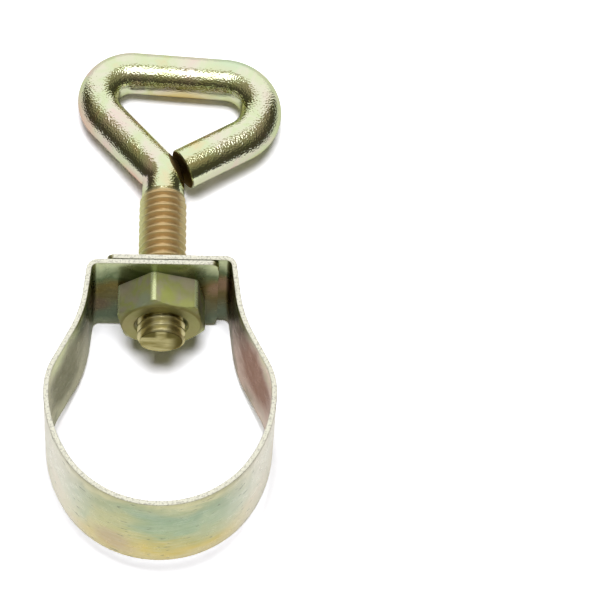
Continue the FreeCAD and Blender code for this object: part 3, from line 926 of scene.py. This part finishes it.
def strip_finish():
    """Yellow passivation on rolled strip: gold below, green above, paler and pinker round the sides."""
    n = Nodes("zinc_strip")
    clouds = n.math("SUBTRACT", n.noise(0.17, detail=3, distortion=0.9), 0.5)
    streaks = n.noise((0.5, 0.5, 6.0), detail=4, offset=(5, 2, 9))
    scratches = n.noise((0.6, 0.6, 2.3), detail=3, rough=0.6, offset=(17, 4, 1))
    rise = n.math("DIVIDE", n.axis("Z"), STRIP_WIDTH)

    outer = n.ramp(n.scaled(clouds, OUTER_WANDERS, rise), OUTER_BANDS)
    outer = n.clouded(outer, OUTER_CLOUDS, clouds)
    pale = n.mix(n.math("ADD", clouds, 0.5), PALE_PINK, PALE_GREEN)
    sides = n.smooth(n.math("ABSOLUTE", n.axis("X")), *PALE_SIDES)
    outer = n.mix(n.times(sides, PALE_SHARE), outer, pale)
    outer = n.mix(n.ramp(streaks, STREAK_SHARES), outer, STREAK_COLOUR)
    outer = n.mix(n.ramp(scratches, SCRATCH_SHARES), outer, SCRATCH_COLOUR)

    # Painted shade: these bands and spots darken the inner face on the laps, beside the nut and on the
    # necks
    inner = n.ramp(n.scaled(clouds, INNER_WANDERS, rise), INNER_BANDS_AND_SHADE)
    inner = n.clouded(inner, INNER_CLOUDS_AND_SHADE, clouds)
    inner = n.mix(n.ramp(streaks, INNER_STREAK_SHARES), inner, INNER_STREAK_COLOUR)
    inside = n.smooth(n.inward(INNER_MIDDLE), *INNER_FADES)
    sheen = n.mix(n.smooth(n.axis("X"), *SHEEN_TURNS), LEFT_SHEEN, RIGHT_SHEEN)

    from_middle = n.math("ABSOLUTE", n.math("SUBTRACT", n.axis("Z"), AXIS_Z))
    rim = n.smooth(from_middle, AXIS_Z - EDGE_RADIUS, AXIS_Z)
    sparkle = n.ramp(n.noise(3.4, detail=1, offset=(6, 6, 6)), RIM_SPARKLE)

    roughness = n.ramp(n.noise(0.8, detail=5, offset=(3, 3, 3)), STRIP_ROUGHNESS)
    normal = n.bump(n.noise((1.2, 1.2, 5.0), detail=6, rough=0.65), STRIP_GRAIN)
    return n.metal(
        colour=n.mix(rim, n.mix(inside, outer, inner), sparkle),
        roughness=n.scaled(rim, RIM_ROUGHER, roughness),
        normal=n.bump(n.times(n.noise(4.0, detail=1), rim), RIM_GRAIN, under=normal),
        metallic=n.scaled(rim, -RIM_LESS_METALLIC, 1.0),
        edge=n.mix(inside, WHITE, sheen),
    )


# The rod: gold, green and pink in turn
ROD_FILM = [
    (0.3, (0.84, 0.77, 0.48)),
    (0.44, (0.76, 0.84, 0.54)),
    (0.56, (0.84, 0.83, 0.64)),
    (0.72, (0.89, 0.75, 0.66)),
]
# Spots of film colour; among them the darker yellow on the eye's two inner bends is painted shade, and
# the gold under the bar is a painted reflection of the eye's own gold
ROD_CLOUDS_AND_PAINTED_LIGHT = [
    ((-11.5, 44.0, 5.5), 6.0, 0.8, (0.9, 0.64, 0.56)),
    ((-9.5, 53.0, 6.5), 4.0, 0.7, (0.9, 0.66, 0.62)),
    ((-3.7, 36.3, 5.5), 3.6, 0.9, (0.9, 0.56, 0.5)),
    # Painted shade on the eye's inner bends
    ((9.5, 48.0, 5.0), 3.6, 0.8, (0.64, 0.62, 0.28)),
    ((-5.2, 47.2, 5.0), 3.4, 0.8, (0.58, 0.56, 0.36)),
    ((9.0, 54.0, 8.0), 5.0, 0.7, (0.68, 0.84, 0.62)),
    # Painted reflection under the bar
    ((2.0, 49.0, 5.0), 6.0, 0.9, (0.8, 0.64, 0.3)),
]
ROD_SHEEN = 0.8

# The thread is duller than the rod
ROD_ROUGHNESS = [(0.3, 0.04), (0.7, 0.08)]
THREAD_ROUGHER = 0.38
THREAD_LESS_METALLIC = 0.17

# The thread behind the bridge: brown in the middle, green and gold at its sides
THREAD_BROWN = (0.78, 0.59, 0.32)
THREAD_LEFT = (0.8, 0.8, 0.44)
THREAD_RIGHT = (0.72, 0.62, 0.36)
THREAD_SIDES = (1.6, 2.7)
THREAD_TURNS = (-1.0, 1.0)
THREAD_FADES = 0.8

# The thread inside the band: paler, which is partly painted light, and a little smoother, with darker
# flanks, which are painted shade
TIP_SMOOTHER = 0.06
TIP_FADES = (18.0, 22.0)
TIP_COLOUR_AND_LIGHT = (0.78, 0.72, 0.42)
FLANK_SHADE = (0.44, 0.37, 0.14)
FLANK_STARTS = (0.7, 1.5)
FLANK_ENDS = (2.3, 2.7)

# The tip's sheared face: streaked, and darker to the right and in two upper patches, which is painted
# shade for a rounded end
SHEAR_DARK = (0.3, 0.26, 0.1)
SHEAR_BRIGHT = (0.55, 0.5, 0.26)
FACE_RIGHT = (0.6, 2.2)
FACE_RIGHT_SHADE = (0.12, 0.1, 0.03)
FACE_TOP = (AXIS_Z + 0.9, AXIS_Z + 1.3)
FACE_TOP_SIDES = (0.3, 0.9)
FACE_TOP_SHADE = (0.14, 0.12, 0.04)
FACE_FADES = (TIP_Y + 0.02, TIP_Y + 0.1)

# The sawn end, told from the rod by its depth and its distance from the end's middle
SAWN_COLOUR = (0.3, 0.22, 0.1)
SAWN_ROUGHER = 0.4
SAWN_FADES = (-0.06, -0.02)
SAWN_REACH = ROD_RADIUS + 0.1

# The skin's grain, as shares of its depth: deeper from the neck up and calmer towards the bar
PEEL_DEPTH = 0.05
PEEL_ON_SHANK = 0.38
PEEL_LESS_ON_THREAD = 0.18
PEEL_MORE_ON_EYE = 0.62
PEEL_STARTS = (35.5, 40.0)
PEEL_CALMS = (46.0, 51.0)
PEEL_CALMED = 0.6


def sawn_share(n):
    """1 on the eye's sawn end."""
    end, heading, _ = eye_path()[-1]
    h = math.radians(heading)
    towards = Vector((math.cos(h), math.sin(h), 0.0))
    past = n.math("SUBTRACT", n.along(towards), end.dot(towards.xy))
    near = n.math("LESS_THAN", n.distance((end.x, end.y, AXIS_Z)), SAWN_REACH)
    return n.times(n.smooth(past, *SAWN_FADES), near)


def rod_finish():
    """Brighter passivation on drawn rod, its skin like fine orange peel, and duller on the thread."""
    n = Nodes("zinc_rod")
    clouds = n.noise(0.2, detail=3, distortion=0.6)
    across = n.axis("X")
    along = n.axis("Y")
    aside = n.math("ABSOLUTE", across)
    rod = n.clouded(n.ramp(clouds, ROD_FILM), ROD_CLOUDS_AND_PAINTED_LIGHT, n.math("SUBTRACT", clouds, 0.5))

    rims = n.mix(n.smooth(across, *THREAD_TURNS), THREAD_LEFT, THREAD_RIGHT)
    thread = n.mix(n.smooth(aside, *THREAD_SIDES), THREAD_BROWN, rims)
    tip = n.rest(n.smooth(along, *TIP_FADES))
    # Painted shade on the tip thread's flanks, and painted light in its paler film
    flanks = n.math("SUBTRACT", n.smooth(aside, *FLANK_STARTS), n.smooth(aside, *FLANK_ENDS))
    thread = n.mix(tip, thread, n.mix(flanks, TIP_COLOUR_AND_LIGHT, FLANK_SHADE))

    streaks = n.noise((0.4, 1.8, 1.8), detail=3, offset=(4, 1, 2))
    face = n.ramp(streaks, [(0.35, SHEAR_DARK), (0.6, SHEAR_BRIGHT)])
    # Painted shade on the right of the tip's face and in two upper patches
    face = n.mix(n.smooth(across, *FACE_RIGHT), face, FACE_RIGHT_SHADE)
    top = n.times(n.smooth(n.axis("Z"), *FACE_TOP), n.smooth(aside, *FACE_TOP_SIDES))
    face = n.mix(top, face, FACE_TOP_SHADE)
    thread = n.mix(n.smooth(along, *FACE_FADES), face, thread)

    threaded = n.rest(n.smooth(along, THREAD_END_Y - THREAD_FADES, THREAD_END_Y))
    sawn = sawn_share(n)
    film = n.mix(sawn, n.mix(threaded, rod, thread), SAWN_COLOUR)

    peel = n.noise(4.9, detail=0, offset=(2, 8, 5))
    roughness = n.scaled(threaded, THREAD_ROUGHER, n.ramp(peel, ROD_ROUGHNESS))
    roughness = n.scaled(sawn, SAWN_ROUGHER, roughness)
    roughness = n.scaled(tip, -TIP_SMOOTHER, roughness)
    calmer = n.times(n.smooth(along, *PEEL_CALMS), PEEL_CALMED)
    deeper = n.math("SUBTRACT", n.smooth(along, *PEEL_STARTS), calmer)
    depth = n.scaled(threaded, -PEEL_LESS_ON_THREAD, PEEL_ON_SHANK)
    depth = n.scaled(deeper, PEEL_MORE_ON_EYE, depth)
    return n.metal(
        colour=film,
        roughness=roughness,
        normal=n.bump(n.times(peel, depth), PEEL_DEPTH),
        metallic=n.scaled(threaded, -THREAD_LESS_METALLIC, 1.0),
        edge=n.mix(ROD_SHEEN, WHITE, film),
    )


# The nut: greenish among brownish grey, with patches on the two upper flats
NUT_GREY = (0.52, 0.48, 0.34)
NUT_GREEN = (0.5, 0.53, 0.2)
NUT_CLOUDS = [
    ((-2.2, 15.6, 12.1), 1.9, 0.8, (0.46, 0.52, 0.36)),
    ((-4.6, 18.4, 10.4), 1.8, 0.7, (0.56, 0.5, 0.32)),
    ((0.9, 16.4, 12.7), 1.7, 0.8, (0.52, 0.57, 0.16)),
    ((3.2, 15.7, 11.9), 1.5, 0.8, (0.58, 0.62, 0.22)),
    ((3.6, 18.4, 11.8), 1.6, 0.7, (0.58, 0.52, 0.36)),
]

# Its face away from the seat is darker, painted shade where it mirrors shaded floor, and its corners are
# lighter and smoother, a painted highlight
NUT_FACE_SHADE_BROWN = (0.37, 0.3, 0.13)
NUT_FACE_SHADE_GREEN = (0.34, 0.36, 0.1)
NUT_FACE_FADES = (NUT_FACE_Y + 0.05, NUT_FACE_Y + 0.3)
CORNER_HIGHLIGHT_COLOUR = (0.74, 0.8, 0.44)
CORNER_HIGHLIGHT_RADII = (5.56, 5.61)
CORNER_SMOOTHER = 0.2

# Its torn grain
NUT_ROUGHNESS = [(0.3, 0.44), (0.7, 0.54)]
NUT_METALLIC = [(0.3, 0.6), (0.7, 0.74)]
NUT_GRAIN = 0.012


def nut_finish():
    """Duller passivation on the forged nut."""
    n = Nodes("zinc_nut")
    clouds = n.noise(0.35, detail=3, distortion=0.4, offset=(1, 6, 2))
    film = n.ramp(clouds, [(0.3, NUT_GREY), (0.5, NUT_GREEN), (0.7, NUT_GREY)])
    film = n.clouded(film, NUT_CLOUDS, n.math("SUBTRACT", clouds, 0.5))
    # Painted shade on the nut's face
    face = n.mix(clouds, NUT_FACE_SHADE_BROWN, NUT_FACE_SHADE_GREEN)
    film = n.mix(n.smooth(n.axis("Y"), *NUT_FACE_FADES), face, film)
    # Painted highlight: lighter colour along the nut's rounded corners
    away = n.hypotenuse(n.axis("X"), n.math("SUBTRACT", n.axis("Z"), AXIS_Z))
    corner_highlight = n.smooth(away, *CORNER_HIGHLIGHT_RADII)
    grain = n.noise(1.6, detail=3, rough=0.6)
    return n.metal(
        colour=n.mix(corner_highlight, film, CORNER_HIGHLIGHT_COLOUR),
        roughness=n.scaled(corner_highlight, -CORNER_SMOOTHER, n.ramp(grain, NUT_ROUGHNESS)),
        normal=n.bump(grain, NUT_GRAIN),
        metallic=n.ramp(grain, NUT_METALLIC),
    )


# The scene
make_camera()
make_floor()
make_world()
make_lamp()

band = make_band()
band.data.materials.append(strip_finish())
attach(band, "band")
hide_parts("clamp_band")

bolt = make_eye_bolt()
bolt.data.materials.append(rod_finish())
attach(bolt, "bolt")
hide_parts("eye_bolt")

nut = make_nut()
nut.data.materials.append(nut_finish())
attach(nut, "nut")
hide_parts("hex_nut")

bpy.context.scene.view_settings.view_transform = "Standard"
